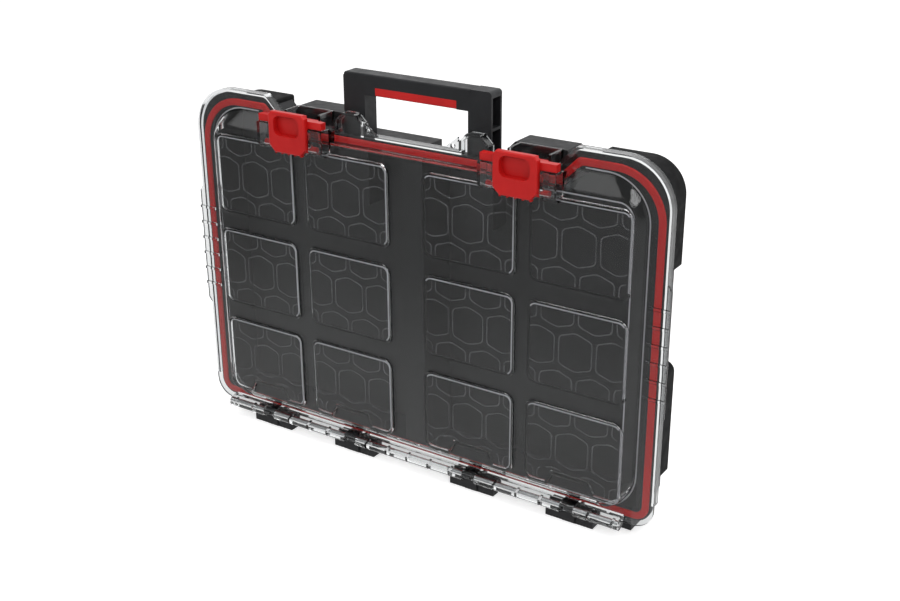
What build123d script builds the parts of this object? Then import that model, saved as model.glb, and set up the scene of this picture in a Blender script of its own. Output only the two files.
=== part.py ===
import os

from build123d import *

os.makedirs("parts", exist_ok=True)

# Parts organizer box standing on its hinge side, with the clear lid closed and the handle pulled out.
# Millimetres: x runs along the width, the lid faces -y, z is up. The origin lies on the floor
# under the middle of the whole box.

# Lid shell
lid_width = 460.0
lid_reach = 303.5  # hinge axis up to the top edge
lid_lip = 2.0  # flange below the hinge axis
lid_skin = 2.5
lid_corner = 40.0
lid_foot_corner = 18.0
skirt_wall = 2.5
skirt_depth = 6.0  # behind the flange
skirt_start = 22.0  # the skirt begins this far above the flange's lower edge

# Recess in the top edge, which takes the pushed-in handle
ear_width = 80.0  # top edge left standing on each side
recess_width = lid_width - 2 * ear_width
recess_drop = 20.0
recess_corner = 6.0
slant_share = 0.414  # how far an inset moves the upper corner of the recess's slanted ends

# Raised window of the lid
window_rise = 6.5
window_side_margin = 18.0  # lid edge to the foot of the bevel
window_top_margin = 16.0
window_bottom_margin = 8.5
window_recess_margin = 9.5
bevel_side = 6.0
bevel_top = 15.3
bevel_bottom = 5.0
window_corner = 36.0
window_face_corner = 15.0
window_edge_radius = 4.5

# Raised fields of the window, one over each place for a bin
pillow_columns = 4
pillow_rows = 3
pillow_gap = 9.9
pillow_row_gap = 13.9
pillow_centre_gap = 32.1
pillow_side_margin = 2.05
pillow_top_margin = 6.9
pillow_bottom_margin = 4.0
pillow_rise = 2.5
pillow_corner = 9.0
pillow_edge_radius = 1.8
notch_width = 42.0  # notches of the lowest fields over the hinge brackets
notch_top_width = 30.0
notch_height = 11.0
pillow_width = (
    lid_width
    - 2 * (window_side_margin + bevel_side + pillow_side_margin)
    - pillow_centre_gap
    - pillow_gap * (pillow_columns - 2)
) / pillow_columns
pillow_height = (
    lid_reach
    + lid_lip
    - (window_top_margin + bevel_top + pillow_top_margin)
    - (window_bottom_margin + bevel_bottom + pillow_bottom_margin)
    - pillow_row_gap * (pillow_rows - 1)
) / pillow_rows

# Hinge along the bottom
foot_height = 7.0
hinge_gap = 2.0  # lid knuckles above the feet
knuckle_radius = 5.5
hinge_forward = 0.5  # axis in front of the window
hinge_end_margin = 25.0
rod_radius = 1.6
running_clearance = 0.05
knuckle_clearance = 0.4
bracket_knuckle_radius = 3.6
lid_knuckle_length = 20.0
lid_knuckle_gap = 2.2
bracket_inner_x = 63.0
bracket_end_margin = 72.0
bracket_outer_x = lid_width / 2 - bracket_end_margin
bracket_width = 44.0
bracket_knuckle_width = 12.0
bracket_depth = 28.0
bracket_arm_height = 13.0
bracket_arm_setback = 0.5  # behind the hinge axis
toe_setback = 2.0
corner_foot_width = 20.0
foot_edge = 1.8

# Case behind the lid
skirt_gap = 1.0
rim_gap = 1.5
rim_depth = 5.2
case_depth = 40.0
wall = 2.5
side_ledge = 10.5
top_ledge = 9.5
recess_ledge = 2.9
bottom_ledge = 5.5
header_depth = 5.6
tub_corner = 26.0
cavity_corner = 26.0
tub_foot_corner = 8.0
scoop_margin = 1.2  # finger scoop behind the handle, next to the right guide
scoop_start_share = 0.07  # where it starts, as a share of where it ends
scoop_drop = 21.0
scoop_wall = 3.3
divider_front_share = 0.147  # spine's widths as shares of the handle's width
divider_floor_share = 0.175
divider_wall = 2.0
seat_clearance = 0.2

# Seal
seal_margin = 1.5  # rim edge to the seal's head
seal_top_margin = 4.5  # the same at the ears' top
seal_corner = 42.0
seal_edge = 1.0
groove_depth = 3.0
seal_stem = 4.4
seal_head = 6.2
seal_proud = 1.2
seal_clearance = 0.1

# Latches
latch_margin = 40.0  # recess end to a latch's middle
latch_x = recess_width / 2 - latch_margin
latch_width = 39.0
latch_height = 35.0
latch_proud = 12.0  # front of the latch ahead of the fields
latch_plate = 5.0
latch_corner = 6.0
latch_top_corner = 3.0
latch_below_recess = 21.0  # lower end under the recess edge
finger_width = 27.0
finger_height = 17.0
finger_depth = 5.5
finger_below_top = 3.2
grip_rib_count = 5
grip_rib = 1.2
cheek = 2.0
cheek_gap = 0.9
lug_box_width = 14.0
lug_box_corner = 4.0
boss_radius = 4.0
trunnion_radius = 2.5
trunnion_reach = 7.0
backing_width = 33.0
backing = 3.0
backing_above_pivot = 8.0
tab_setback = 1.0  # tab end inside the lug box's side
tab_height = 6.0
tab_depth = 6.0
tab_above_recess = 2.7
loop_gap = 2.0
loop_height = 10.0
lug_front_setback = 3.0
lug_above_recess = 2.0
pivot_above_latch_foot = 6.0
boss_clearance = 1.0
pivot_behind_front = latch_proud - boss_radius - boss_clearance
tongue_width = 28.0
tongue = 3.0
tongue_gap = 0.5
ridge_width = 32.0
ridge_depth = 4.0

# Handle
handle_margin = 78.6  # recess end to the handle's side
handle_width = recess_width - 2 * handle_margin
divider_front_width = handle_width * divider_front_share
divider_floor_width = handle_width * divider_floor_share
leg_width = 21.4
leg_depth = 16.0
handle_rise = 55.0  # top of the bar above the case's recess
handle_travel = 26.0
bar_height = 14.5
cover_height = 3.0
cover_stop = 19.4
grip_margin = 10.8
grip_height = 7.0
cover_end = handle_width / 2 - cover_stop
grip_length = handle_width - 2 * (leg_width + grip_margin)
handle_edge = 1.5
leg_wall = 2.2
leg_pocket_height = 24.0
leg_pocket_count = 3
stop_height = 6.0
stop_reach = 2.0
slide_clearance = 0.3
guide_wall = 2.0
guide_collar = 16.0  # upper part of a guide that fits the leg

# Clear humps of the lid in front of the handle's legs
guard_margin = 3.5
guard_height = 16.0
guard_chamfer = 8.0
gusset_width = 15.0
gusset_height = 12.0
gusset_hole = 2.0

# Finger ledges on the lid's sides
ledge_length = 116.0
ledge_reach = 3.5
ledge_slope = 5.0
ledge_centre_above_hinge = lid_reach / 2
ladder_ribs = 6
ladder_pitch = 15.0
ladder_rib = 2.5
ladder_rise = 1.5
ladder_inset = 14.0

# Corner bumpers and lugs on the case
bumper_proud = 3.0
bumper_side = 4.5
bumper_inner_margin = 60.0
bumper_setback = 6.0  # behind the rim
bumper_chamfer = 8.0
bumper_edge = 2.0
upper_bumper_length = 92.0
lower_bumper_length = 105.0
lower_bumper_start = 14.5  # above the tub's lower edge
lug_inward = 2.0
lug_x = latch_x - lug_inward
lug_width = 56.0
lug_height = 15.0
lug_depth = 24.0
lug_chamfer = 5.0

# Places along the depth, from the latches' front to the bumpers' rear
overall_depth = latch_proud + pillow_rise + window_rise + lid_skin + rim_gap + case_depth + bumper_proud
y_latch = -overall_depth / 2
y_pillow = y_latch + latch_proud
y_window = y_pillow + pillow_rise
y_flange = y_window + window_rise
y_flange_back = y_flange + lid_skin
y_skirt_back = y_flange_back + skirt_depth
y_rim = y_flange_back + rim_gap
y_rim_back = y_rim + rim_depth
y_floor = y_rim + case_depth - wall
y_back = y_rim + case_depth
y_rear = y_back + bumper_proud
y_leg = y_rim_back + slide_clearance
y_leg_back = y_leg + leg_depth
hinge_y = y_window - hinge_forward

# Places up the height
hinge_z = foot_height + hinge_gap + knuckle_radius
lid_top = hinge_z + lid_reach
lid_bottom = hinge_z - lid_lip
lid_recess = lid_top - recess_drop
lid_half = lid_width / 2
recess_half = recess_width / 2

rim_inset = skirt_wall + skirt_gap
rim_recess = lid_recess - rim_inset
rim_bottom = lid_bottom + rim_inset
tub_half = lid_half - rim_inset - side_ledge
tub_top = lid_top - rim_inset - top_ledge
tub_recess = rim_recess - recess_ledge
tub_bottom = rim_bottom + bottom_ledge
tub_notch = recess_half + rim_inset + recess_ledge
header_under = tub_recess - header_depth
stem_inset = (seal_head - seal_stem) / 2

window_recess = lid_recess - window_recess_margin
window_notch = recess_half - recess_drop + lid_skin
window_top = lid_top - window_top_margin - bevel_top

pivot_y = y_latch + pivot_behind_front
latch_foot = lid_recess - latch_below_recess
latch_head = latch_foot + latch_height
pivot_z = latch_foot + pivot_above_latch_foot

leg_x = (handle_width - leg_width) / 2
handle_top = tub_recess + handle_rise
bar_under = handle_top - cover_height - bar_height
leg_foot = header_under - guide_collar - stop_height - seat_clearance
guide_foot = leg_foot - handle_travel - stop_reach
guide_half = leg_width / 2 + stop_reach + slide_clearance + guide_wall
scoop_end = leg_x - guide_half - wall - scoop_margin
scoop_start = scoop_end * scoop_start_share

edge_tolerance = 0.01
bracket_places = [-bracket_outer_x, -bracket_inner_x, bracket_inner_x, bracket_outer_x]
sides = [("left", -1), ("right", 1)]


def front(y):
    """Plane at depth y that faces the viewer, drawn in x and z."""
    return Plane.XZ.offset(-y)


def across(x):
    """Plane at x across the width, drawn in y and z."""
    return Plane.YZ.offset(x)


def block(x, y, z, mode=Mode.ADD):
    """Box between two limits on each axis."""
    with Locations(((x[0] + x[1]) / 2, (y[0] + y[1]) / 2, (z[0] + z[1]) / 2)):
        Box(abs(x[1] - x[0]), abs(y[1] - y[0]), abs(z[1] - z[0]), mode=mode)


def rod_along_x(x, y, z, radius, mode=Mode.ADD):
    """Round bar between two x limits."""
    with BuildSketch(across(x[0])) as disc:
        with Locations((y, z)):
            Circle(radius)
    extrude(disc.sketch, amount=x[1] - x[0], mode=mode)


def stepped_outline(half, bottom, top, notch, notch_top, corner, foot_corner, mode=Mode.ADD):
    """Front outline of the case, with the handle's recess in its top edge. The recess ends slant."""
    notch_floor = notch - (top - notch_top)
    with BuildLine() as path:
        FilletPolyline(
            (-half, bottom),
            (half, bottom),
            (half, top),
            (notch, top),
            (notch_floor, notch_top),
            (-notch_floor, notch_top),
            (-notch, top),
            (-half, top),
            radius=[foot_corner, foot_corner, corner] + [recess_corner] * 4 + [corner],
            close=True,
        )
    make_face(path.edges(), mode=mode)


def lid_outline(inset, mode=Mode.ADD):
    stepped_outline(
        lid_half - inset,
        lid_bottom + inset,
        lid_top - inset,
        recess_half + inset * slant_share,
        lid_recess - inset,
        lid_corner - inset,
        lid_foot_corner - inset,
        mode,
    )


def seal_outline(inset, mode=Mode.ADD):
    edge = rim_inset + seal_margin + inset
    stepped_outline(
        lid_half - edge,
        lid_bottom + edge,
        lid_top - rim_inset - seal_top_margin - inset,
        recess_half + edge * slant_share,
        lid_recess - edge,
        seal_corner - inset,
        lid_foot_corner - edge,
        mode,
    )


def tub_outline(inset, recess_inset, corner):
    stepped_outline(
        tub_half - inset,
        tub_bottom + inset,
        tub_top - inset,
        tub_notch + inset,
        tub_recess - recess_inset,
        corner,
        tub_foot_corner - inset,
    )


def window_outline(side_inset, top_inset, bottom_inset, corner):
    """Rounded rectangle of the window, inset from the foot of its bevel."""
    half = lid_half - window_side_margin - side_inset
    top = lid_top - window_top_margin - top_inset
    bottom = lid_bottom + window_bottom_margin + bottom_inset
    with Locations((0, (top + bottom) / 2)):
        RectangleRounded(2 * half, top - bottom, corner)


def window_body(inset):
    """Raised window, drawn in by an inset all round, as a loft from the flange to the front."""
    with BuildSketch(front(y_flange + inset)) as foot:
        window_outline(inset, inset, inset, window_corner - inset)
    with BuildSketch(front(y_window + inset)) as face:
        window_outline(
            bevel_side + inset,
            bevel_top + inset,
            bevel_bottom + inset,
            window_face_corner - inset,
        )
    loft((foot.sketch.face(), face.sketch.face()), ruled=True)
    notch = window_notch + inset
    notch_rise = lid_top - window_recess + inset
    with BuildSketch(front(y_flange + inset)) as cut:
        with BuildLine() as path:
            Polyline(
                (-notch, window_recess - inset),
                (notch, window_recess - inset),
                (notch + notch_rise, lid_top),
                (-notch - notch_rise, lid_top),
                close=True,
            )
        make_face(path.edges())
    extrude(cut.sketch, amount=window_rise + lid_skin, mode=Mode.SUBTRACT)


def edges_at_depth(piece, y):
    return piece.edges().filter_by_position(Axis.Y, y - edge_tolerance, y + edge_tolerance)


def save(piece, name):
    piece.part.label = name
    export_step(piece.part, f"parts/{name}.step")


# Hollow of the window, cut out of the window and the flange below
with BuildPart() as window_hollow:
    window_body(lid_skin)

# Middles of the raised fields, in x and z
column_pitch = pillow_width + pillow_gap
row_pitch = pillow_height + pillow_row_gap
first_column = (pillow_centre_gap + pillow_width) / 2
column_middles = [first_column + i * column_pitch for i in range(pillow_columns // 2)]
top_row = window_top - pillow_top_margin - pillow_height / 2
row_middles = [top_row - i * row_pitch for i in range(pillow_rows)]
pillow_middles = [(sign * x, z) for x in column_middles for sign in (-1, 1) for z in row_middles]

# Lower edge of the lowest fields
pillow_foot = row_middles[-1] - pillow_height / 2


def pillow_field(inset):
    """Outlines of all the raised fields, drawn in by an inset."""
    with Locations(*pillow_middles):
        RectangleRounded(
            pillow_width - 2 * inset,
            pillow_height - 2 * inset,
            pillow_corner - inset,
        )
    for x in bracket_places:
        with BuildLine() as notch:
            Polyline(
                (x - notch_width / 2 - inset, pillow_foot),
                (x - notch_top_width / 2 - inset, pillow_foot + notch_height + inset),
                (x + notch_top_width / 2 + inset, pillow_foot + notch_height + inset),
                (x + notch_width / 2 + inset, pillow_foot),
                close=True,
            )
        make_face(notch.edges(), mode=Mode.SUBTRACT)


# Raised window with its fields, which are hollow behind
with BuildPart() as window:
    window_body(0)
    fillet(edges_at_depth(window, y_window), window_edge_radius)
    add(window_hollow.part, mode=Mode.SUBTRACT)
    with BuildSketch(front(y_window + lid_skin / 2)):
        pillow_field(0)
    extrude(amount=pillow_rise + lid_skin / 2)
    fillet(edges_at_depth(window, y_pillow), pillow_edge_radius)
    with BuildSketch(front(y_window + lid_skin)):
        pillow_field(lid_skin)
    extrude(amount=pillow_rise, mode=Mode.SUBTRACT)

# Clear lid: flange, skirt, knuckles, latch lugs and humps around the window
with BuildPart() as lid:
    with BuildSketch(front(y_flange_back)):
        lid_outline(0)
    extrude(amount=lid_skin)
    with BuildSketch(front(y_skirt_back)):
        lid_outline(0)
        lid_outline(skirt_wall, Mode.SUBTRACT)
    extrude(amount=skirt_depth)
    skirt_foot = lid_bottom + skirt_start
    block((-lid_half, lid_half), (y_flange_back, y_skirt_back), (lid_bottom, skirt_foot), Mode.SUBTRACT)
    add(window_hollow.part, mode=Mode.SUBTRACT)

    # Hinge knuckles on a web under the flange
    hinge_half = lid_half - hinge_end_margin
    rod_along_x((-hinge_half, hinge_half), hinge_y, hinge_z, knuckle_radius)
    block((-hinge_half, hinge_half), (hinge_y, y_flange_back), (hinge_z, hinge_z + knuckle_radius))
    knuckle_front = hinge_y - knuckle_radius - knuckle_clearance
    knuckle_low = hinge_z - knuckle_radius - knuckle_clearance
    knuckle_slot = bracket_knuckle_width / 2 + knuckle_clearance
    cover_radius = bracket_knuckle_radius + knuckle_clearance
    for x in bracket_places:
        slot = (x - knuckle_slot, x + knuckle_slot)
        rod_along_x(slot, hinge_y, hinge_z, cover_radius, Mode.SUBTRACT)
        block(slot, (knuckle_front, hinge_y), (knuckle_low, hinge_z), Mode.SUBTRACT)
        block(slot, (hinge_y, y_flange_back), (knuckle_low, hinge_z + cover_radius), Mode.SUBTRACT)
    knuckle_pitch = lid_knuckle_length + lid_knuckle_gap
    knuckle_gaps = int(hinge_half / knuckle_pitch)
    for i in range(-knuckle_gaps, knuckle_gaps + 1):
        x = i * knuckle_pitch
        block(
            (x - lid_knuckle_gap / 2, x + lid_knuckle_gap / 2),
            (knuckle_front, hinge_y + rod_radius + running_clearance),
            (knuckle_low, hinge_z + rod_radius + running_clearance),
            Mode.SUBTRACT,
        )
    rod_along_x((-lid_half, lid_half), hinge_y, hinge_z, rod_radius + running_clearance, Mode.SUBTRACT)

    # Boxes on both sides of each latch, which carry its pivot, and a loop behind it
    lug_front = y_latch + lug_front_setback
    lug_top = lid_recess + lug_above_recess
    inner_cheek = latch_width / 2 + cheek_gap
    lug_outer = inner_cheek + lug_box_width
    window_seat = y_window + lid_skin / 2
    flange_seat = y_flange + lid_skin / 2
    loop_half = ridge_width / 2 + skirt_gap + cheek
    loop_back = y_rear - lug_depth - loop_gap
    loop_foot = lid_recess - skirt_wall / 2
    loop_top = lid_recess + loop_height
    for _, sign in sides:
        for reach in (-1, 1):
            near = sign * latch_x + reach * inner_cheek
            far = sign * latch_x + reach * lug_outer
            with BuildSketch(across(min(near, far))):
                with BuildLine():
                    Polyline(
                        (lug_front, latch_foot + lug_box_corner),
                        (lug_front + lug_box_corner, latch_foot),
                        (window_seat, latch_foot),
                        (window_seat, window_recess),
                        (flange_seat, window_recess),
                        (flange_seat, lid_recess),
                        (y_window, lug_top),
                        (lug_front, lug_top),
                        close=True,
                    )
                make_face()
            extrude(amount=abs(far - near))
            block(
                (near + reach * cheek, far - reach * cheek),
                (lug_front + cheek, y_window),
                (latch_foot + lug_box_corner, lug_top),
                Mode.SUBTRACT,
            )
            bore = sorted((near, near + reach * (trunnion_reach + skirt_gap)))
            rod_along_x(bore, pivot_y, pivot_z, trunnion_radius + running_clearance, Mode.SUBTRACT)
            loop_near = sign * latch_x + reach * loop_half
            loop_far = loop_near - reach * cheek
            block((loop_near, loop_far), (flange_seat, loop_back), (loop_foot, loop_top))
        loop = (sign * latch_x - loop_half, sign * latch_x + loop_half)
        block(loop, (loop_back - cheek, loop_back), (lid_recess + tongue_gap, loop_top))
        ridge_slot = ridge_width / 2 + skirt_gap
        block(
            (sign * latch_x - ridge_slot, sign * latch_x + ridge_slot),
            (y_flange_back, y_skirt_back),
            (lid_recess - skirt_wall, lid_recess),
            Mode.SUBTRACT,
        )

    # Humps and gussets in front of the handle's legs
    guard_in = leg_x - leg_width / 2 - guard_margin
    guard_out = leg_x + leg_width / 2 + guard_margin
    guard_top = lid_recess + guard_height
    for _, sign in sides:
        for inset, back, mode in ((0, y_flange, Mode.ADD), (skirt_wall, y_flange_back, Mode.SUBTRACT)):
            low = lid_recess - skirt_wall
            inner = sign * (guard_in + inset)
            outer = sign * (guard_out - inset)
            chamfer_in = sign * (guard_in + guard_chamfer)
            chamfer_out = sign * (guard_out - guard_chamfer)
            shoulder = guard_top - guard_chamfer
            with BuildSketch(front(y_skirt_back)):
                with BuildLine():
                    Polyline(
                        (inner, low),
                        (outer, low),
                        (outer, shoulder),
                        (chamfer_out, guard_top - inset),
                        (chamfer_in, guard_top - inset),
                        (inner, shoulder),
                        close=True,
                    )
                make_face()
            extrude(amount=y_skirt_back - back, mode=mode)
        with BuildSketch(front(y_flange_back)):
            with BuildLine():
                Polyline(
                    (sign * guard_in, lid_recess),
                    (sign * guard_in, lid_recess + gusset_height),
                    (sign * (guard_in - gusset_width), lid_recess),
                    close=True,
                )
            make_face()
            with Locations((sign * (guard_in - gusset_width / 3), lid_recess + gusset_height / 3)):
                Circle(gusset_hole, mode=Mode.SUBTRACT)
        extrude(amount=lid_skin)

    # Finger ledges, which widen the flange, with ladder ribs on both sides
    ledge_middle = hinge_z + ledge_centre_above_hinge
    ledge_low = ledge_middle - ledge_length / 2
    ledge_high = ledge_middle + ledge_length / 2
    ladder_low = ledge_middle - ladder_pitch * (ladder_ribs - 1) / 2
    for _, sign in sides:
        with BuildSketch(front(y_flange_back)):
            with BuildLine():
                Polyline(
                    (sign * (lid_half - skirt_wall), ledge_low),
                    (sign * lid_half, ledge_low),
                    (sign * (lid_half + ledge_reach), ledge_low + ledge_slope),
                    (sign * (lid_half + ledge_reach), ledge_high - ledge_slope),
                    (sign * lid_half, ledge_high),
                    (sign * (lid_half - skirt_wall), ledge_high),
                    close=True,
                )
            make_face()
        extrude(amount=lid_skin)
        for i in range(ladder_ribs):
            z = ladder_low + i * ladder_pitch
            block(
                (sign * (lid_half - ladder_inset), sign * (lid_half + ledge_reach)),
                (y_flange - ladder_rise, y_flange),
                (z - ladder_rib / 2, z + ladder_rib / 2),
            )

    add(window.part)
save(lid, "lid")

# Case: a tub with a flat rim, a seal groove, the handle's openings and the latches' keeper ridges
with BuildPart() as base_shell:
    with BuildSketch(front(y_back)):
        tub_outline(0, 0, tub_corner)
    extrude(amount=y_back - y_rim_back)
    with BuildSketch(front(y_rim_back)):
        lid_outline(rim_inset)
    extrude(amount=rim_depth)
    with BuildSketch(front(y_floor)):
        tub_outline(wall, header_depth, cavity_corner)
    extrude(amount=y_floor - y_rim, mode=Mode.SUBTRACT)
    with BuildSketch(front(y_rim + groove_depth)):
        seal_outline(stem_inset)
        seal_outline(stem_inset + seal_stem, Mode.SUBTRACT)
    extrude(amount=groove_depth, mode=Mode.SUBTRACT)
    for _, sign in sides:
        leg_opening = leg_width / 2 + slide_clearance
        block(
            (sign * leg_x - leg_opening, sign * leg_x + leg_opening),
            (y_rim_back, y_leg_back + slide_clearance),
            (header_under, tub_recess),
            Mode.SUBTRACT,
        )
        block(
            (sign * latch_x - ridge_width / 2, sign * latch_x + ridge_width / 2),
            (y_rim, y_rim + ridge_depth),
            (rim_recess, lid_recess),
        )
    # Finger scoop behind the handle: a sloping wall first, then the cut above it
    scoop_front = y_back - scoop_drop
    scoop_shift = scoop_wall * 2**0.5
    scoop_under = tub_recess - scoop_drop + wall - scoop_shift
    scoop_inner = scoop_front + header_depth - scoop_shift
    with BuildSketch(across(scoop_start - wall)):
        with BuildLine():
            Polyline(
                (y_floor, header_under),
                (y_floor, scoop_under),
                (scoop_inner, header_under),
                close=True,
            )
        make_face()
    extrude(amount=scoop_end - scoop_start + 2 * wall)
    with BuildSketch(across(scoop_start)):
        with BuildLine():
            Polyline(
                (y_back, tub_recess),
                (y_back, tub_recess - scoop_drop),
                (scoop_front, tub_recess),
                close=True,
            )
        make_face()
    extrude(amount=scoop_end - scoop_start, mode=Mode.SUBTRACT)
save(base_shell, "base_shell")

# Red seal: a stem in the groove and a wider head in front of the rim
with BuildPart() as seal:
    with BuildSketch(front(y_rim + groove_depth)):
        seal_outline(stem_inset + seal_clearance)
        seal_outline(stem_inset + seal_stem - seal_clearance, Mode.SUBTRACT)
    extrude(amount=groove_depth)
    with BuildSketch(front(y_rim)):
        seal_outline(0)
        seal_outline(seal_head, Mode.SUBTRACT)
    extrude(amount=seal_proud)
    fillet(edges_at_depth(seal, y_rim - seal_proud), seal_edge)
save(seal, "seal")

# Hollow spine that halves the inside, standing on the floor
with BuildPart() as centre_divider:
    with BuildSketch(Plane.XY.offset(tub_bottom + wall + seat_clearance)):
        with BuildLine():
            Polyline(
                (-divider_floor_width / 2, y_floor),
                (-divider_front_width / 2, y_rim),
                (divider_front_width / 2, y_rim),
                (divider_floor_width / 2, y_floor),
                close=True,
            )
        make_face()
        with BuildLine():
            Polyline(
                (-divider_floor_width / 2 + divider_wall, y_floor),
                (-divider_front_width / 2 + divider_wall, y_rim + divider_wall),
                (divider_front_width / 2 - divider_wall, y_rim + divider_wall),
                (divider_floor_width / 2 - divider_wall, y_floor),
                close=True,
            )
        make_face(mode=Mode.SUBTRACT)
    extrude(amount=header_under - tub_bottom - wall - 2 * seat_clearance)
    with BuildSketch(across(-divider_floor_width / 2)):
        with BuildLine():
            Polyline(
                (y_floor, header_under),
                (y_floor, scoop_under - seat_clearance),
                (scoop_inner - seat_clearance, header_under),
                close=True,
            )
        make_face()
    extrude(amount=divider_floor_width, mode=Mode.SUBTRACT)
save(centre_divider, "centre_divider")

# Hinge brackets under the case, each with a foot, an arm and a knuckle
knuckle_half = bracket_knuckle_width / 2
for number, x in enumerate(bracket_places, start=1):
    with BuildPart() as bracket:
        half = bracket_width / 2
        block((x - half, x + half), (y_rim_back, y_rim_back + bracket_depth), (0, tub_bottom))
        block((x - half, x + half), (hinge_y + toe_setback, y_rim_back), (0, foot_height))
        arm_depth = (hinge_y + bracket_arm_setback, y_rim_back)
        block((x - knuckle_half, x + knuckle_half), arm_depth, (0, bracket_arm_height))
        rod_along_x((x - knuckle_half, x + knuckle_half), hinge_y, hinge_z, bracket_knuckle_radius)
        rod_along_x(
            (x - knuckle_half, x + knuckle_half),
            hinge_y,
            hinge_z,
            rod_radius + running_clearance,
            Mode.SUBTRACT,
        )
        foot_edges = bracket.edges().filter_by(Axis.X).group_by(Axis.Z)[0]
        fillet(foot_edges.sort_by(Axis.Y)[0], foot_edge)
    save(bracket, f"hinge_bracket_{number}")

# Steel rods, one for each half of the hinge
for name, sign in sides:
    with BuildPart() as rod:
        near = bracket_inner_x - bracket_width / 2
        ends = sorted((sign * near, sign * hinge_half))
        rod_along_x(ends, hinge_y, hinge_z, rod_radius)
    save(rod, f"hinge_rod_{name}")

# Plain feet under the two lower corners
for name, sign in sides:
    with BuildPart() as corner_foot:
        outer = tub_half - tub_foot_corner
        block(
            (sign * (outer - corner_foot_width), sign * outer),
            (y_rim_back, y_rim_back + bracket_depth),
            (0, tub_bottom),
        )
        fillet(corner_foot.edges().group_by(Axis.Z)[0], foot_edge)
    save(corner_foot, f"corner_foot_{name}")

# Latches: front plate with a finger recess, tabs over the boxes, pivot boss and tongue
for name, sign in sides:
    middle = sign * latch_x
    latch_half = latch_width / 2
    with BuildPart() as latch:
        with BuildSketch(front(y_latch + latch_plate)):
            with Locations((middle, (latch_foot + latch_head) / 2)):
                Rectangle(latch_width, latch_height)
            chamfer(vertices().group_by(Axis.Y)[0], latch_corner)
            chamfer(vertices().group_by(Axis.Y)[-1], latch_top_corner)
        extrude(amount=latch_plate)
        fillet(edges_at_depth(latch, y_latch), handle_edge)
        plate_back = y_latch + latch_plate
        finger_top = latch_head - finger_below_top
        block(
            (middle - backing_width / 2, middle + backing_width / 2),
            (plate_back, plate_back + backing),
            (pivot_z + backing_above_pivot, latch_head - grip_rib),
        )
        with BuildSketch(front(y_latch)):
            with Locations((middle, finger_top - finger_height / 2)):
                RectangleRounded(finger_width, finger_height, latch_corner)
        extrude(amount=-finger_depth, mode=Mode.SUBTRACT)
        tab_half = inner_cheek + lug_box_width - tab_setback
        tab_low = lid_recess + tab_above_recess
        block(
            (middle - tab_half, middle + tab_half),
            (plate_back, plate_back + tab_depth),
            (tab_low, tab_low + tab_height),
        )
        rod_along_x((middle - latch_half, middle + latch_half), pivot_y, pivot_z, boss_radius)
        trunnion_half = inner_cheek + trunnion_reach
        rod_along_x((middle - trunnion_half, middle + trunnion_half), pivot_y, pivot_z, trunnion_radius)
        block(
            (middle - tongue_width / 2, middle + tongue_width / 2),
            (plate_back, y_rim + ridge_depth),
            (lid_recess + tongue_gap, lid_recess + tongue_gap + tongue),
        )
        rib_pitch = finger_width / (grip_rib_count - 1)
        for i in range(grip_rib_count):
            x = middle - finger_width / 2 + i * rib_pitch
            block(
                (x - grip_rib / 2, x + grip_rib / 2),
                (y_latch + handle_edge, plate_back),
                (latch_foot - grip_rib, latch_foot),
            )
    save(latch, f"latch_{name}")

# Handle frame: a bar on two legs with ribbed pockets in their outer sides
with BuildPart() as handle_frame:
    with BuildSketch(front(y_leg_back)):
        with Locations((0, (leg_foot + handle_top) / 2)):
            Rectangle(handle_width, handle_top - leg_foot)
        with Locations((0, (leg_foot + bar_under) / 2)):
            Rectangle(handle_width - 2 * leg_width, bar_under - leg_foot, mode=Mode.SUBTRACT)
    extrude(amount=leg_depth)
    fillet(handle_frame.edges().filter_by(Axis.Y).group_by(Axis.Z)[-1], cover_height)
    block(
        (-handle_width / 2, cover_end),
        (y_leg, y_leg_back),
        (handle_top - cover_height, handle_top),
        Mode.SUBTRACT,
    )
    grip_span = (-grip_length / 2, grip_length / 2)
    grip_rows = (bar_under, bar_under + grip_height)
    block(grip_span, (y_leg, y_leg_back), grip_rows, Mode.SUBTRACT)
    pocket_pitch = leg_pocket_height + leg_wall
    for _, sign in sides:
        outer = sign * handle_width / 2
        for i in range(leg_pocket_count):
            pocket_top = bar_under + bar_height - leg_wall - i * pocket_pitch
            block(
                (outer - sign * (leg_width - leg_wall), outer),
                (y_leg + leg_wall, y_leg_back - leg_wall),
                (pocket_top - leg_pocket_height, pocket_top),
                Mode.SUBTRACT,
            )
        stop_half = leg_width / 2 + stop_reach
        block(
            (sign * leg_x - stop_half, sign * leg_x + stop_half),
            (y_leg, y_leg_back),
            (leg_foot, leg_foot + stop_height),
        )
save(handle_frame, "handle_frame")

# Cap along the top of the bar
with BuildPart() as handle_cover:
    block(
        (-handle_width / 2, cover_end - slide_clearance),
        (y_leg, y_leg_back),
        (handle_top - cover_height, handle_top),
    )
    top_ends = handle_cover.edges().filter_by(Axis.Y).group_by(Axis.Z)[-1]
    fillet(top_ends.sort_by(Axis.X)[0], cover_height - handle_edge / 4)
    fillet(handle_cover.edges().filter_by(Axis.X).group_by(Axis.Z)[-1], handle_edge)
save(handle_cover, "handle_cover")

# Soft red grip, let into the bar from below
with BuildPart() as handle_grip:
    block(grip_span, (y_leg, y_leg_back), grip_rows)
    fillet(handle_grip.edges().filter_by(Axis.X).group_by(Axis.Z)[0], handle_edge)
save(handle_grip, "handle_grip")

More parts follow.
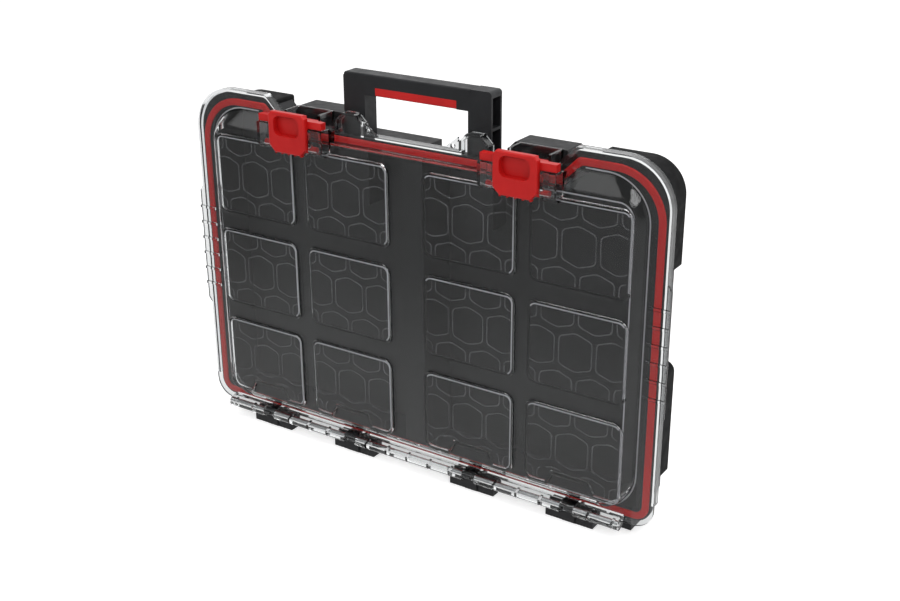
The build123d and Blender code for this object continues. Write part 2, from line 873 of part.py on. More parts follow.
# Guides under the case's top wall, tight at the collar and wider below for the leg's stop
for name, sign in sides:
    with BuildPart() as guide:
        tight = leg_width / 2 + slide_clearance
        wide = leg_width / 2 + stop_reach + slide_clearance
        bore_y = (y_leg - slide_clearance, y_leg_back + slide_clearance)
        middle = sign * leg_x
        block(
            (middle - guide_half, middle + guide_half),
            (bore_y[0] - guide_wall, bore_y[1] + guide_wall),
            (guide_foot, header_under),
        )
        block((middle - tight, middle + tight), bore_y, (guide_foot, header_under), Mode.SUBTRACT)
        collar_foot = header_under - guide_collar
        block((middle - wide, middle + wide), bore_y, (guide_foot, collar_foot), Mode.SUBTRACT)
    save(guide, f"handle_guide_{name}")

# Rubber bumpers that wrap the case's four rear corners
upper_end = tub_top + bumper_proud
lower_end = tub_bottom + lower_bumper_start
bumper_spans = {
    "upper": (upper_end - upper_bumper_length, upper_end),
    "lower": (lower_end, lower_end + lower_bumper_length),
}
for name, sign in sides:
    for level, (low, high) in bumper_spans.items():
        with BuildPart() as bumper:
            outer = sign * (tub_half + bumper_side)
            inner = sign * (tub_half - bumper_inner_margin)
            corner = tub_corner + bumper_proud if level == "upper" else bumper_chamfer
            with BuildSketch(front(y_rear)):
                with BuildLine():
                    FilletPolyline(
                        (inner, low),
                        (outer - sign * bumper_chamfer, low),
                        (outer, low + bumper_chamfer),
                        (outer, high),
                        (inner, high),
                        radius=[bumper_edge] * 3 + [corner, bumper_edge],
                        close=True,
                    )
                make_face()
            extrude(amount=y_rear - y_rim_back - bumper_setback)
            with BuildSketch(front(y_back)):
                tub_outline(0, 0, tub_corner)
            extrude(amount=y_back - y_rim_back, mode=Mode.SUBTRACT)
        save(bumper, f"corner_bumper_{level}_{name}")

# Stacking lugs on the case's top edge
for name, sign in sides:
    middle = sign * lug_x
    with BuildPart() as lug:
        with BuildSketch(front(y_rear)):
            with Locations((middle, tub_recess + lug_height / 2)):
                Rectangle(lug_width, lug_height)
            chamfer(vertices().group_by(Axis.Y)[-1], lug_chamfer)
        extrude(amount=lug_depth)
    save(lug, f"top_lug_{name}")
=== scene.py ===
# %% [markdown]
# # A clear-lidded parts organizer
#
# The box stands on its hinge side: a black case, a clear lid with twelve raised fields, two red
# latches, a red seal and a handle that slides out of the top edge. Its rigid pieces come from
# the imported model, in metres, so this lesson adds the finishes, the light, the camera and the
# fine moulded relief that a solid model leaves out.

# %% Load the imported model
import math

import bmesh
import bpy
from mathutils import Matrix, Vector


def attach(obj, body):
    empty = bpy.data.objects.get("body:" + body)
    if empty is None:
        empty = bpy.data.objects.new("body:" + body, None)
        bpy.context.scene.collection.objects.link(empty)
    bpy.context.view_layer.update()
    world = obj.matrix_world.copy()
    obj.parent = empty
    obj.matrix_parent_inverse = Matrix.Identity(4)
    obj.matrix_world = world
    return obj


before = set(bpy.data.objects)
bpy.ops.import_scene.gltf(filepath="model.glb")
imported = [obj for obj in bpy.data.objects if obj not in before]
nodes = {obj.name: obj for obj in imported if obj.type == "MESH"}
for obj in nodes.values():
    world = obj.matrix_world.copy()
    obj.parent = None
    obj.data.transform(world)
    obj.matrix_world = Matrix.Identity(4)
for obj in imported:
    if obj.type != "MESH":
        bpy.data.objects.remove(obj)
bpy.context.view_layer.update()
scene = bpy.context.scene

# %% [markdown]
# ## Camera
#
# The photograph's camera was solved from the straight edges of the raised fields: it stands to
# the right of the lid, a little above the handle, with a lens of about 52 mm. A camera could be
# aimed with a constraint, but a plain matrix keeps the small roll too and needs no target
# object.

# %% Camera at the photograph's place
camera_place = Vector((0.5797, -0.84484, 0.58544))
camera_right = Vector((0.83928, 0.543682, -0.004275))
camera_up = Vector((-0.206721, 0.326367, 0.922362))
camera_lens = 52.09
camera_sensor = 36.0

camera_data = bpy.data.cameras.new("photo_camera")
camera_data.lens = camera_lens
camera_data.sensor_width = camera_sensor
camera = bpy.data.objects.new("photo_camera", camera_data)
camera_back = camera_right.cross(camera_up)
camera.matrix_world = Matrix.Translation(camera_place) @ Matrix(
    (camera_right, camera_up, camera_back)
).transposed().to_4x4()
scene.collection.objects.link(camera)
scene.camera = camera
print("camera", [round(v, 3) for v in camera.location])

# %% [markdown]
# ## White to look at, plain to light with
#
# The photograph is a product shot on white, taken from the dim side of the studio: the clear lid
# mirrors little, while its edges catch the white behind it. So the world and the floor look white
# to the camera. To gloss and clear material they are white on the far side and fade towards the
# viewer's side. Light Path tells those rays from the ones that only carry light, which have bounced
# off a matt surface and meet a plain level. The world and the floor both need this, so one helper
# builds it. The view transform is Standard, so that a colour renders about as it is written.

# %% Helper for the studio's white
scene.view_settings.view_transform = "Standard"

dim_side = 0.2
half_bounce = 0.5


def combine(tree, operation, first, second):
    """Result of a Math node on a socket and either a second socket or a number."""
    node = tree.nodes.new("ShaderNodeMath")
    node.operation = operation
    tree.links.new(first, node.inputs[0])
    if isinstance(second, float):
        node.inputs[1].default_value = second
    else:
        tree.links.new(second, node.inputs[1])
    return node.outputs[0]


def studio_strength(tree, side, fade, plain, white):
    """Strength that is white to the camera, fades over the side's range for gloss and clear
    material, and is plain for the rays that light the object."""
    path = tree.nodes.new("ShaderNodeLightPath").outputs
    seen_through = combine(tree, "MAXIMUM", path["Is Glossy Ray"], path["Is Transmission Ray"])
    no_bounce = combine(tree, "LESS_THAN", path["Diffuse Depth"], half_bounce)
    only_seen = combine(tree, "MULTIPLY", seen_through, no_bounce)
    shade = tree.nodes.new("ShaderNodeMapRange")
    shade.interpolation_type = "SMOOTHSTEP"
    shade.inputs["From Min"].default_value = fade[0]
    shade.inputs["From Max"].default_value = fade[1]
    shade.inputs["To Min"].default_value = dim_side * white
    shade.inputs["To Max"].default_value = white
    tree.links.new(side, shade.inputs["Value"])
    mirrored = tree.nodes.new("ShaderNodeMix")
    mirrored.inputs["A"].default_value = plain
    tree.links.new(only_seen, mirrored.inputs["Factor"])
    tree.links.new(shade.outputs["Result"], mirrored.inputs["B"])
    strength = tree.nodes.new("ShaderNodeMix")
    strength.inputs["B"].default_value = white
    tree.links.new(path["Is Camera Ray"], strength.inputs["Factor"])
    tree.links.new(mirrored.outputs["Result"], strength.inputs["A"])
    return strength.outputs["Result"]


def place_along_depth(tree, output):
    """The y of a texture coordinate, which grows away from the viewer."""
    place = tree.nodes.new("ShaderNodeTexCoord")
    split = tree.nodes.new("ShaderNodeSeparateXYZ")
    tree.links.new(place.outputs[output], split.inputs["Vector"])
    return split.outputs["Y"]


print("dim side", dim_side, "of the white")

# %% [markdown]
# ## World
#
# The world is the room around the box. An image of a studio would light it too, but a plain white
# with the fading strength needs no file, and its level is easy to set. The world's Generated
# coordinate is a direction here, so its y says how far a ray looks away from the viewer.

# %% World
world_level = 0.5
world_white = 1.0
world_fade = (-0.25, 0.35)

world = bpy.data.worlds.new("studio")
world.use_nodes = True
scene.world = world
world_tree = world.node_tree
background = world_tree.nodes["Background"]
background.inputs["Color"].default_value = (1.0, 1.0, 1.0, 1.0)
world_side = place_along_depth(world_tree, "Generated")
world_strength = studio_strength(world_tree, world_side, world_fade, world_level, world_white)
world_tree.links.new(world_strength, background.inputs["Strength"])
print("world", world.name, "plain level", world_level)

# %% [markdown]
# ## Floor
#
# A large pale plane takes the box's shadow. It glows to the camera, so that it meets the white world
# without a seam, but adds no light of its own to matt surfaces. Gloss sees its surface as a darker
# grey, because the lit floor would otherwise lie as a veil over the whole lid.

# %% Floor
floor_reach = 6.0
floor_level = 0.0
floor_glow = 0.62
floor_fade = (-0.5, 0.1)
floor_grey = (0.86, 0.86, 0.86, 1.0)
floor_in_gloss = (0.3, 0.3, 0.3, 1.0)

floor_mesh = bpy.data.meshes.new("floor")
floor_mesh.from_pydata(
    [(x * floor_reach, y * floor_reach, 0.0) for x, y in ((-1, -1), (1, -1), (1, 1), (-1, 1))],
    [],
    [(0, 1, 2, 3)],
)
floor = bpy.data.objects.new("floor", floor_mesh)
scene.collection.objects.link(floor)
floor_finish = bpy.data.materials.new("pale_floor")
floor_finish.use_nodes = True
floor_tree = floor_finish.node_tree
floor_shader = floor_tree.nodes["Principled BSDF"]
floor_shader.inputs["Roughness"].default_value = 0.9
floor_shader.inputs["Emission Color"].default_value = (1.0, 1.0, 1.0, 1.0)
floor_path = floor_tree.nodes.new("ShaderNodeLightPath")
floor_shade = floor_tree.nodes.new("ShaderNodeMix")
floor_shade.data_type = "RGBA"
floor_shade.inputs["A"].default_value = floor_grey
floor_shade.inputs["B"].default_value = floor_in_gloss
floor_tree.links.new(floor_path.outputs["Is Glossy Ray"], floor_shade.inputs["Factor"])
floor_tree.links.new(floor_shade.outputs["Result"], floor_shader.inputs["Base Color"])
floor_side = place_along_depth(floor_tree, "Object")
floor_strength = studio_strength(floor_tree, floor_side, floor_fade, floor_level, floor_glow)
floor_tree.links.new(floor_strength, floor_shader.inputs["Emission Strength"])
floor_mesh.materials.append(floor_finish)
print("floor", [round(v, 1) for v in floor.dimensions])

# %% [markdown]
# ## Lamps
#
# A broad lamp above gives the soft shadow, and two panels in front draw the highlights along the
# lid's bevels. Point lamps would leave hard dots in the clear plastic, so all three are wide
# rectangles. The panels' places come from the mirror angle of the lid's upper right corner, where the
# photograph shows a soft highlight.

# %% Lamps
def add_lamp(name, place, aim, size, power):
    """Rectangular lamp that looks from a place towards an aim."""
    data = bpy.data.lights.new(name, "AREA")
    data.shape = "RECTANGLE"
    data.size, data.size_y = size
    data.energy = power
    lamp = bpy.data.objects.new(name, data)
    lamp.location = place
    lamp.rotation_euler = (Vector(aim) - Vector(place)).to_track_quat("-Z", "Y").to_euler()
    scene.collection.objects.link(lamp)


add_lamp("overhead", place=(0.1, -0.1, 1.5), aim=(0, 0, 0.15), size=(1.7, 0.6), power=9.0)
add_lamp("left_panel", place=(-0.65, -1.4, 1.05), aim=(0, 0, 0.25), size=(1.5, 0.5), power=2.8)
add_lamp("right_panel", place=(1.1, -0.8, 1.3), aim=(0.15, 0, 0.25), size=(0.8, 0.6), power=6.0)

# %% [markdown]
# ## Moulded plastics and rubber
#
# The case is black ABS with a fine spark-eroded grain about half a millimetre wide, and its colour
# and gloss drift a little over longer stretches. Painting that by hand would need image files, so
# two noise textures in object space drive roughness and bump instead, and a third one mixes two
# close shades. The same builder makes the red latch plastic and both rubbers with other numbers.

# %% Helpers for finishes
noise_low = 0.3
noise_high = 0.7


def new_finish(name):
    """Material with its node tree and its main shader."""
    finish = bpy.data.materials.new(name)
    finish.use_nodes = True
    return finish, finish.node_tree, finish.node_tree.nodes["Principled BSDF"]


def noise(tree, scale, detail=3.0):
    """Noise in object space, so that it stays on the piece when the piece moves."""
    place = tree.nodes.get("place") or tree.nodes.new("ShaderNodeTexCoord")
    place.name = "place"
    texture = tree.nodes.new("ShaderNodeTexNoise")
    texture.inputs["Scale"].default_value = scale
    texture.inputs["Detail"].default_value = detail
    tree.links.new(place.outputs["Object"], texture.inputs["Vector"])
    return texture.outputs["Fac"]


def between(tree, value, low, high):
    """Noise spread over a range."""
    spread = tree.nodes.new("ShaderNodeMapRange")
    spread.inputs["From Min"].default_value = noise_low
    spread.inputs["From Max"].default_value = noise_high
    spread.inputs["To Min"].default_value = low
    spread.inputs["To Max"].default_value = high
    tree.links.new(value, spread.inputs["Value"])
    return spread.outputs["Result"]


def two_shades(tree, value, shade, pale, start=0.0, end=1.0):
    """Colour that goes from one shade to a paler one as the value goes from start to end."""
    ramp = tree.nodes.new("ShaderNodeValToRGB")
    dark_stop, pale_stop = ramp.color_ramp.elements
    dark_stop.position, pale_stop.position = start, end
    dark_stop.color, pale_stop.color = (*shade, 1.0), (*pale, 1.0)
    tree.links.new(value, ramp.inputs["Fac"])
    return ramp.outputs["Color"]


def bumps(tree, height, depth, strength):
    """Normal that makes a height look raised."""
    bump = tree.nodes.new("ShaderNodeBump")
    bump.inputs["Distance"].default_value = depth
    bump.inputs["Strength"].default_value = strength
    tree.links.new(height, bump.inputs["Height"])
    return bump.outputs["Normal"]


print("noise range", noise_low, noise_high)

# %% [markdown]
# A moulded finish takes two shades, a range of roughness, the strength of its shine, and the scale
# and depth of its grain. The grain is only hundredths of a millimetre deep: more would look
# pebbled from close by.

# %% Moulded finishes
shade_scale = 45.0
shade_start = 0.35
shade_end = 0.7
gloss_scale = 160.0
grain_detail = 2.0
grain_strength = 0.6


def moulded_finish(name, shade, pale, gloss, shine, grain, grain_depth):
    """Two close shades that drift, gloss that breaks up, and a fine bump grain."""
    finish, tree, shader = new_finish(name)
    shader.inputs["Specular IOR Level"].default_value = shine
    colour = two_shades(tree, noise(tree, shade_scale), shade, pale, shade_start, shade_end)
    tree.links.new(colour, shader.inputs["Base Color"])
    tree.links.new(between(tree, noise(tree, gloss_scale), *gloss), shader.inputs["Roughness"])
    normal = bumps(tree, noise(tree, grain, grain_detail), grain_depth, grain_strength)
    tree.links.new(normal, shader.inputs["Normal"])
    return finish


black_case = moulded_finish(
    "black_case", shade=(0.012, 0.0125, 0.014), pale=(0.017, 0.0175, 0.0195),
    gloss=(0.5, 0.65), shine=0.4, grain=1900.0, grain_depth=0.00001,
)
black_bumper = moulded_finish(
    "black_bumper", shade=(0.007, 0.007, 0.0075), pale=(0.011, 0.011, 0.0115),
    gloss=(0.55, 0.72), shine=0.1, grain=1300.0, grain_depth=0.00004,
)
black_handle = moulded_finish(
    "black_handle", shade=(0.014, 0.0148, 0.0165), pale=(0.02, 0.021, 0.0235),
    gloss=(0.4, 0.55), shine=0.35, grain=1700.0, grain_depth=0.00002,
)
red_latch = moulded_finish(
    "red_latch", shade=(0.5, 0.007, 0.007), pale=(0.58, 0.011, 0.01),
    gloss=(0.3, 0.42), shine=0.3, grain=1600.0, grain_depth=0.00001,
)
red_grip = moulded_finish(
    "red_grip", shade=(0.5, 0.008, 0.008), pale=(0.6, 0.014, 0.012),
    gloss=(0.45, 0.6), shine=0.3, grain=1200.0, grain_depth=0.00003,
)
red_rubber = moulded_finish(
    "red_rubber", shade=(0.84, 0.012, 0.012), pale=(0.92, 0.018, 0.017),
    gloss=(0.4, 0.55), shine=0.3, grain=1100.0, grain_depth=0.00002,
)
print("finishes", len(bpy.data.materials))

# %% [markdown]
# ## Clear lid
#
# The lid is clear polycarbonate about 2.5 mm thick. It is modelled with both of its skins, so
# one transmissive shader bends the light at each skin, much as the real lid does. A slow, shallow
# waviness and a trace of roughness stand for the moulding. The index and the mirror shine are set
# under the real ones, because the bare inside would otherwise drown in the white room.

# %% Clear finish
clear_index = 1.42
clear_shine = 0.26
clear_gloss = (0.05, 0.09)
clear_gloss_scale = 30.0
wave_scale = 14.0
wave_detail = 1.0
wave_depth = 0.0004
wave_strength = 0.25

clear_lid, clear_tree, clear_shader = new_finish("clear_lid")
clear_shader.inputs["Base Color"].default_value = (0.96, 0.975, 0.98, 1.0)
clear_shader.inputs["Transmission Weight"].default_value = 1.0
clear_shader.inputs["IOR"].default_value = clear_index
clear_shader.inputs["Specular IOR Level"].default_value = clear_shine
clear_roughness = between(clear_tree, noise(clear_tree, clear_gloss_scale), *clear_gloss)
clear_tree.links.new(clear_roughness, clear_shader.inputs["Roughness"])
clear_wave = bumps(clear_tree, noise(clear_tree, wave_scale, wave_detail), wave_depth, wave_strength)
clear_tree.links.new(clear_wave, clear_shader.inputs["Normal"])
print("clear index", clear_index)

# %% [markdown]
# ## Steel rods
#
# The hinge rods are drawn steel, with fine lines along their length. Noise that is stretched along
# x draws such lines in the roughness, with no need for an anisotropic shader.

# %% Steel finish
steel_gloss = (0.22, 0.4)
steel_lines_scale = (20.0, 2500.0, 2500.0)

drawn_steel, steel_tree, steel_shader = new_finish("drawn_steel")
steel_shader.inputs["Metallic"].default_value = 1.0
steel_shader.inputs["Base Color"].default_value = (0.5, 0.5, 0.51, 1.0)
steel_place = steel_tree.nodes.new("ShaderNodeTexCoord")
steel_stretch = steel_tree.nodes.new("ShaderNodeMapping")
steel_stretch.inputs["Scale"].default_value = steel_lines_scale
steel_lines = steel_tree.nodes.new("ShaderNodeTexNoise")
steel_lines.inputs["Scale"].default_value = 1.0
steel_tree.links.new(steel_place.outputs["Object"], steel_stretch.inputs["Vector"])
steel_tree.links.new(steel_stretch.outputs["Vector"], steel_lines.inputs["Vector"])
steel_roughness = between(steel_tree, steel_lines.outputs["Fac"], *steel_gloss)
steel_tree.links.new(steel_roughness, steel_shader.inputs["Roughness"])
print("steel roughness", steel_gloss)

# %% [markdown]
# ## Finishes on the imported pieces
#
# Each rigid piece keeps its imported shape. It gets its finish, and most get a narrow rounded edge
# from a bevel modifier, because a moulded edge is never knife sharp and only a rounded one
# catches the light. Both are looked up by how the piece's name starts.

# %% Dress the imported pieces
finish_by_start = {
    "lid": clear_lid,
    "latch": red_latch,
    "seal": red_rubber,
    "handle_grip": red_grip,
    "handle_frame": black_handle,
    "handle_cover": black_handle,
    "corner_bumper": black_bumper,
    "hinge_rod": drawn_steel,
}
edge_width_by_start = {
    "lid": 0.0005,
    "latch": 0.0005,
    "seal": 0.0003,
    "handle": 0.0006,
    "corner": 0.001,
    "top_lug": 0.0009,
    "hinge_bracket": 0.0007,
}
edge_angle = math.radians(40)
edge_segments = 2


def by_start(name, values, otherwise):
    """Value whose key starts a piece's name."""
    return next((value for start, value in values.items() if name.startswith(start)), otherwise)


for name, piece in nodes.items():
    piece.data.materials.clear()
    piece.data.materials.append(by_start(name, finish_by_start, black_case))
    edge_width = by_start(name, edge_width_by_start, None)
    if edge_width:
        soft_edge = piece.modifiers.new("soft_edge", "BEVEL")
        soft_edge.width = edge_width
        soft_edge.segments = edge_segments
        soft_edge.limit_method = "ANGLE"
        soft_edge.angle_limit = edge_angle
print("soft edges", sum(len(piece.modifiers) for piece in nodes.values()), "of", len(nodes))

# %% [markdown]
# ## Honeycomb ribs behind the fields
#
# Each raised field of the lid carries a honeycomb on its inner face: low moulded ribs, every cell
# with an outline of its own. A texture could paint them, but they would vanish from the exported
# shape, so each outline is a real rib. A cell is walked as a closed line with rounded corners, the
# part of the line inside the field is kept, and a low ridge is swept along it.

# %% Line round one honeycomb cell
cell_width = 0.0290
cell_side = 0.0235
cell_peak = 0.0050
cell_round = 0.0035
cell_corner_steps = 6
rib_step = 0.0012


def straight_points(start, end):
    """Points between two ends, at about the rib's step."""
    run = end - start
    count = max(1, round(run.length / rib_step))
    return [start + run * (k / count) for k in range(1, count)]


def cell_line(x, z):
    """Closed line of points round one cell, with its corners rounded."""
    half, side, peak = cell_width / 2, cell_side / 2, cell_side / 2 + cell_peak
    corners = [(half, -side), (half, side), (0, peak), (-half, side), (-half, -side), (0, -peak)]
    corners = [Vector((x + a, z + b)) for a, b in corners]
    line = []
    for i, corner in enumerate(corners):
        before = (corners[i - 1] - corner).normalized()
        after = (corners[(i + 1) % len(corners)] - corner).normalized()
        start, end = corner + before * cell_round, corner + after * cell_round
        if line:
            line += straight_points(line[-1], start)
        for k in range(cell_corner_steps + 1):
            t = k / cell_corner_steps
            line.append(start * (1 - t) ** 2 + corner * 2 * t * (1 - t) + end * t ** 2)
    return line + straight_points(line[-1], line[0])


print("points round a cell", len(cell_line(0.0, 0.0)))

# %% [markdown]
# A field's edge cuts most cells, so a closed line falls into runs. Each run becomes a ridge with a
# flat crest and sloping sides. A curve with a bevel profile could do this too, but a mesh built ring
# by ring stays closed at its ends and needs no conversion. Its foot is sunk a little into the face,
# so that no gap shows.

# %% Ribs along a line
rib_foot = 0.0012
rib_crest = 0.0006
rib_rise = 0.0004
rib_sunk = 0.00005
rib_section = (
    (-rib_foot, -rib_sunk),
    (-rib_crest, rib_rise),
    (rib_crest, rib_rise),
    (rib_foot, -rib_sunk),
)
shortest_run = 3


def runs_inside(line, inside):
    """Runs of a closed line's points that pass a test, and whether each run is closed."""
    flags = [inside(point) for point in line]
    if all(flags):
        return [(line, True)]
    first = flags.index(False)
    line, flags = line[first:] + line[:first], flags[first:] + flags[:first]
    runs, run = [], []
    for point, flag in zip(line, flags):
        if flag:
            run.append(point)
        elif run:
            runs.append((run, False))
            run = []
    if run:
        runs.append((run, False))
    return [(run, closed) for run, closed in runs if len(run) >= shortest_run]


def sweep_rib(mesh, run, closed, face_y, width=1.0):
    """Low ridge along a run of points on a face that looks towards +y."""
    rings = []
    for i, point in enumerate(run):
        before = run[i - 1] if closed or i else point
        after = run[(i + 1) % len(run)] if closed or i + 1 < len(run) else point
        along = (after - before).normalized()
        across = Vector((-along.y, along.x))
        ring = []
        for reach, rise in rib_section:
            spot = point + across * reach * width / 2
            ring.append(mesh.verts.new((spot.x, face_y + rise, spot.y)))
        rings.append(ring)
    pairs = list(zip(rings, rings[1:])) + ([(rings[-1], rings[0])] if closed else [])
    sides = len(rib_section)
    for one, two in pairs:
        for k in range(sides):
            mesh.faces.new((one[k], one[(k + 1) % sides], two[(k + 1) % sides], two[k]))
    if not closed:
        mesh.faces.new(rings[0])
        mesh.faces.new(rings[-1])


def make_piece(name, mesh, finish):
    """Object of a finished mesh, with its faces turned outwards and its finish on."""
    bmesh.ops.recalc_face_normals(mesh, faces=mesh.faces)
    data = bpy.data.meshes.new(name)
    mesh.to_mesh(data)
    mesh.free()
    data.materials.append(finish)
    piece = bpy.data.objects.new(name, data)
    scene.collection.objects.link(piece)
    return piece


print("rib width and rise", rib_foot, rib_rise)

# %% [markdown]
# The plastic of the ribs is the lid's own, frosted by the mould, so it is a pale haze rather than a
# mirror: a low alpha lets the inside show through it. The paler, denser haze on the edges of the
# window and the fields is a painted highlight, standing for light caught on their rounded edges.

# %% Frosted finishes
frost_scale = 60.0
frost_gloss = (0.5, 0.7)
frost_gloss_scale = 220.0
frost_shine = 0.2
frost_blue = 1.05


def frost_and_highlight_finish(name, shade, pale, cover):
    """Pale haze that lets what is behind it show through; paler and denser, it is a painted highlight.
    """
    finish, tree, shader = new_finish(name)
    shader.inputs["Alpha"].default_value = cover
    shader.inputs["Specular IOR Level"].default_value = frost_shine
    roughness = between(tree, noise(tree, frost_gloss_scale), *frost_gloss)
    tree.links.new(roughness, shader.inputs["Roughness"])
    greys = [(grey, grey, grey * frost_blue) for grey in (shade, pale)]
    tree.links.new(two_shades(tree, noise(tree, frost_scale), *greys), shader.inputs["Base Color"])
    return finish


frosted_rib = frost_and_highlight_finish("frosted_rib", shade=0.3, pale=0.4, cover=0.28)
# Painted highlight: pale, nearly opaque beads stand for the light that rounded clear edges catch.
painted_highlight_edge = frost_and_highlight_finish("painted_highlight_edge", shade=0.74, pale=0.84, cover=0.78)
print("frosted", frosted_rib.name, painted_highlight_edge.name)

# %% [markdown]
# The ribs of all twelve fields make one piece, which rides on the lid. The fields' places repeat
# the solid model's numbers. Every other row of cells is shifted by half a cell, and the lowest fields
# leave room for the notches above the hinge brackets.

# %% Honeycomb of all twelve fields
field_columns = (-0.15945, -0.06055, 0.06055, 0.15945)
field_rows = (0.0670, 0.1549, 0.2428)
field_places = [(x, z) for x in field_columns for z in field_rows]
field_width = 0.0890
field_height = 0.0740
field_inside_y = -0.0195
field_margin = 0.0036
notch_reach = 0.0255
notch_rise = 0.0155
notch_places = (-0.158, -0.063, 0.063, 0.158)
cell_pitch = 0.0330
cell_row_pitch = 0.0352
cells_about = range(-2, 3)


def off_notches(point):
    """Whether a point is clear of the notches under the lowest fields."""
    near_notch = min(abs(point.x - place) for place in notch_places) < notch_reach
    return not (near_notch and point.y < min(field_rows) - field_height / 2 + notch_rise)


def in_field(x, z):
    """Test for points on the ribbed part of the field at a place."""
    reach_x = field_width / 2 - field_margin
    reach_z = field_height / 2 - field_margin

    def test(point):
        inside = abs(point.x - x) < reach_x and abs(point.y - z) < reach_z
        return inside and off_notches(point)

    return test


rib_mesh = bmesh.new()
for x, z in field_places:
    for row in cells_about:
        for column in cells_about:
            line = cell_line(x + (column + 0.5 * (row % 2)) * cell_pitch, z + row * cell_row_pitch)
            for run, closed in runs_inside(line, in_field(x, z)):
                sweep_rib(rib_mesh, run, closed, field_inside_y)
honeycomb = make_piece("lid_honeycomb", rib_mesh, frosted_rib)
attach(honeycomb, "lid")
print("honeycomb faces", len(honeycomb.data.polygons))

# %% [markdown]
# ## Painted highlights along the window and the fields
#
# The raised window shows two pale highlight lines, at the foot of its bevel and at the right of its
# face, and every field one more along its upper and right edges, where the rounding catches the light.
# Clear material alone would show nothing there, so these highlights are painted: low pale beads run
# inside the lid, on the flange, behind the face and in each field's hollow. The one on the flange
# stops at the recess and above the hinge, where the seal lies under it.

# %% Beads of the window's edges
round_step = math.radians(5)
flange_inside_y = -0.0105
face_inside_y = -0.0170
above_hinge_z = 0.0265
below_recess_z = 0.284
recess_half = 0.158


def rounded_frame(half, bottom, top, corner):
    """Closed line of points round a rectangle with rounded corners."""
    middles = (
        (half - corner, top - corner),
        (corner - half, top - corner),
        (corner - half, bottom + corner),
        (half - corner, bottom + corner),
    )
    steps = round(math.pi / 2 / round_step)
    line = []
    for turn, (x, z) in enumerate(middles):
        arc = [turn * math.pi / 2 + k * round_step for k in range(steps + 1)]
        arc = [Vector((x + corner * math.cos(a), z + corner * math.sin(a))) for a in arc]
        if line:
            line += straight_points(line[-1], arc[0])
        line += arc
    return line + straight_points(line[-1], line[0])


def on_window(point):
    """Whether a point is above the hinge and clear of the recess."""
    return point.y > above_hinge_z and (point.y < below_recess_z or abs(point.x) > recess_half)


def beside_right_column(point):
    """Whether a point of the face's edge is on the part with the painted highlight, beside the right
    column.
    """
    return point.x > max(field_columns) - field_width / 2 and on_window(point)


bevel_foot = rounded_frame(half=0.2128, bottom=0.0202, top=0.3028, corner=0.0366)
face_edge = rounded_frame(half=0.2025, bottom=0.0294, top=0.2832, corner=0.0125)
# These beads are painted highlights: pale lines where the window's edges catch the light.
highlight_bead_mesh = bmesh.new()
for run, closed in runs_inside(bevel_foot, on_window):
    sweep_rib(highlight_bead_mesh, run, closed, flange_inside_y)
for run, closed in runs_inside(face_edge, beside_right_column):
    sweep_rib(highlight_bead_mesh, run, closed, face_inside_y)
print("bead faces along the window", len(highlight_bead_mesh.faces))

# %% [markdown]
# The fields' painted highlight beads are narrower and turn a little way round the corners at both
# ends.
# The fields in the right column need only their upper bead, because the window's own bead runs close
# beside them.

# %% Beads of the fields' edges
field_bead_inset = 0.0030
field_bead_width = 0.8
field_bead_hook = 0.0030
field_corner = 0.0090
field_bead_half = field_width / 2 - field_bead_inset
field_bead_rise = field_height / 2 - field_bead_inset


def on_highlit_field_edge(x, z):
    """Test for points on the upper or right edge of the field at a place, the edges that get a painted
    highlight.
    """
    beside_window_bead = x == max(field_columns)

    def test(point):
        upper = point.y > z + field_bead_rise - field_bead_hook
        right = point.x > x + field_bead_half - field_bead_hook and not beside_window_bead
        return (upper or right) and off_notches(point)

    return test


for x, z in field_places:
    line = rounded_frame(
        half=field_bead_half,
        bottom=z - field_bead_rise,
        top=z + field_bead_rise,
        corner=field_corner - field_bead_inset,
    )
    line = [point + Vector((x, 0.0)) for point in line]
    for run, closed in runs_inside(line, on_highlit_field_edge(x, z)):
        sweep_rib(highlight_bead_mesh, run, closed, field_inside_y, field_bead_width)
# Pale beads on the upper and right edges only: painted highlights where the light falls.
highlight_beads = make_piece("lid_painted_highlights", highlight_bead_mesh, painted_highlight_edge)
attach(highlight_beads, "lid")
print("bead faces", len(highlight_beads.data.polygons))

# %% [markdown]
# ## Ribs on the case's back
#
# The photograph doesn't show the back. A flat moulded wall of this size is usually stiffened, so a low
# lattice of ribs is drawn there, below the bumpers' rear faces. Crossed boxes would leave faces inside
# each other, so the lattice is walked as a grid: a cell is rib or gap, and a wall is only made where
# rib meets gap.

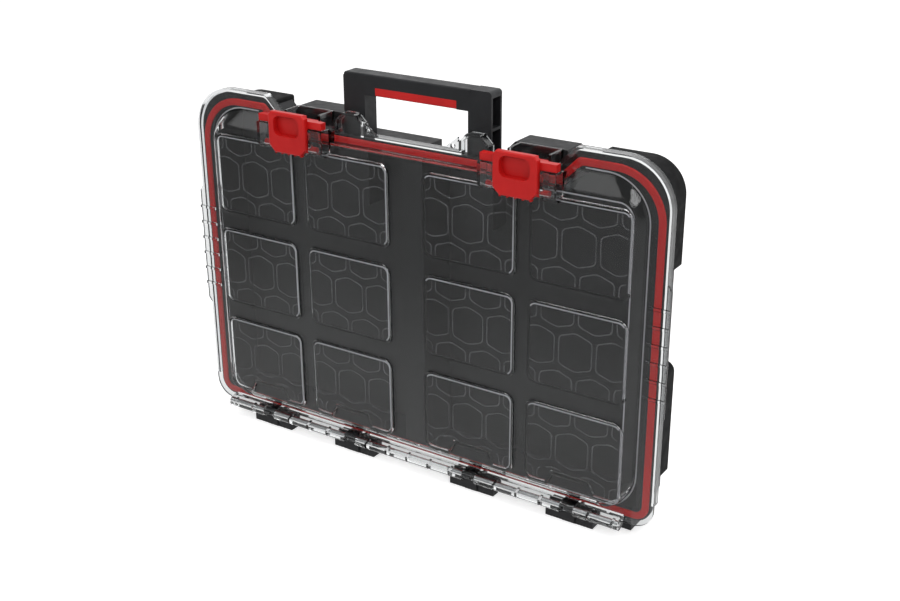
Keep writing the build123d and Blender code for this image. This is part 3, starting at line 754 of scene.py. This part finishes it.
# %% Grid of the rib lattice
lattice_left = -0.138
lattice_bottom = 0.062
lattice_pitch = 0.046
lattice_columns = 7
lattice_rows = 5
lattice_rib = 0.0024
lattice_rise = 0.0018
lattice_sunk = 0.0004
case_back_y = 0.031


def rib_edges(start, count):
    """Both edges of each rib in turn, so that every other step between them is a rib."""
    middles = [start + lattice_pitch * i for i in range(count)]
    return [m + side * lattice_rib / 2 for m in middles for side in (-1, 1)]


edges_x = rib_edges(lattice_left, lattice_columns)
edges_z = rib_edges(lattice_bottom, lattice_rows)


def is_rib(i, k):
    """Whether a cell of the grid is part of a rib."""
    in_grid = 0 <= i < len(edges_x) - 1 and 0 <= k < len(edges_z) - 1
    return in_grid and (i % 2 == 0 or k % 2 == 0)


print("lattice edges", len(edges_x), len(edges_z))

# %% [markdown]
# Faces that meet share their vertices, which are kept by grid place and by whether they stand proud
# or lie sunk in the wall.

# %% Rib lattice
lattice_mesh = bmesh.new()
grid_corners = {}


def grid_corner(i, k, proud):
    """Vertex on a grid corner, shared by all the faces that meet there."""
    if (i, k, proud) not in grid_corners:
        y = case_back_y + (lattice_rise if proud else -lattice_sunk)
        grid_corners[i, k, proud] = lattice_mesh.verts.new((edges_x[i], y, edges_z[k]))
    return grid_corners[i, k, proud]


for i in range(len(edges_x) - 1):
    for k in range(len(edges_z) - 1):
        if not is_rib(i, k):
            continue
        ring = [(i, k), (i + 1, k), (i + 1, k + 1), (i, k + 1)]
        for proud in (False, True):
            lattice_mesh.faces.new([grid_corner(a, b, proud) for a, b in ring])
        beside = [(i, k - 1), (i + 1, k), (i, k + 1), (i - 1, k)]
        for side, neighbour in enumerate(beside):
            if not is_rib(*neighbour):
                one, two = ring[side], ring[(side + 1) % len(ring)]
                spots = [(*one, False), (*two, False), (*two, True), (*one, True)]
                lattice_mesh.faces.new([grid_corner(*spot) for spot in spots])
lattice = make_piece("case_back_ribs", lattice_mesh, black_case)
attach(lattice, "base")
print("lattice faces", len(lattice.data.polygons))
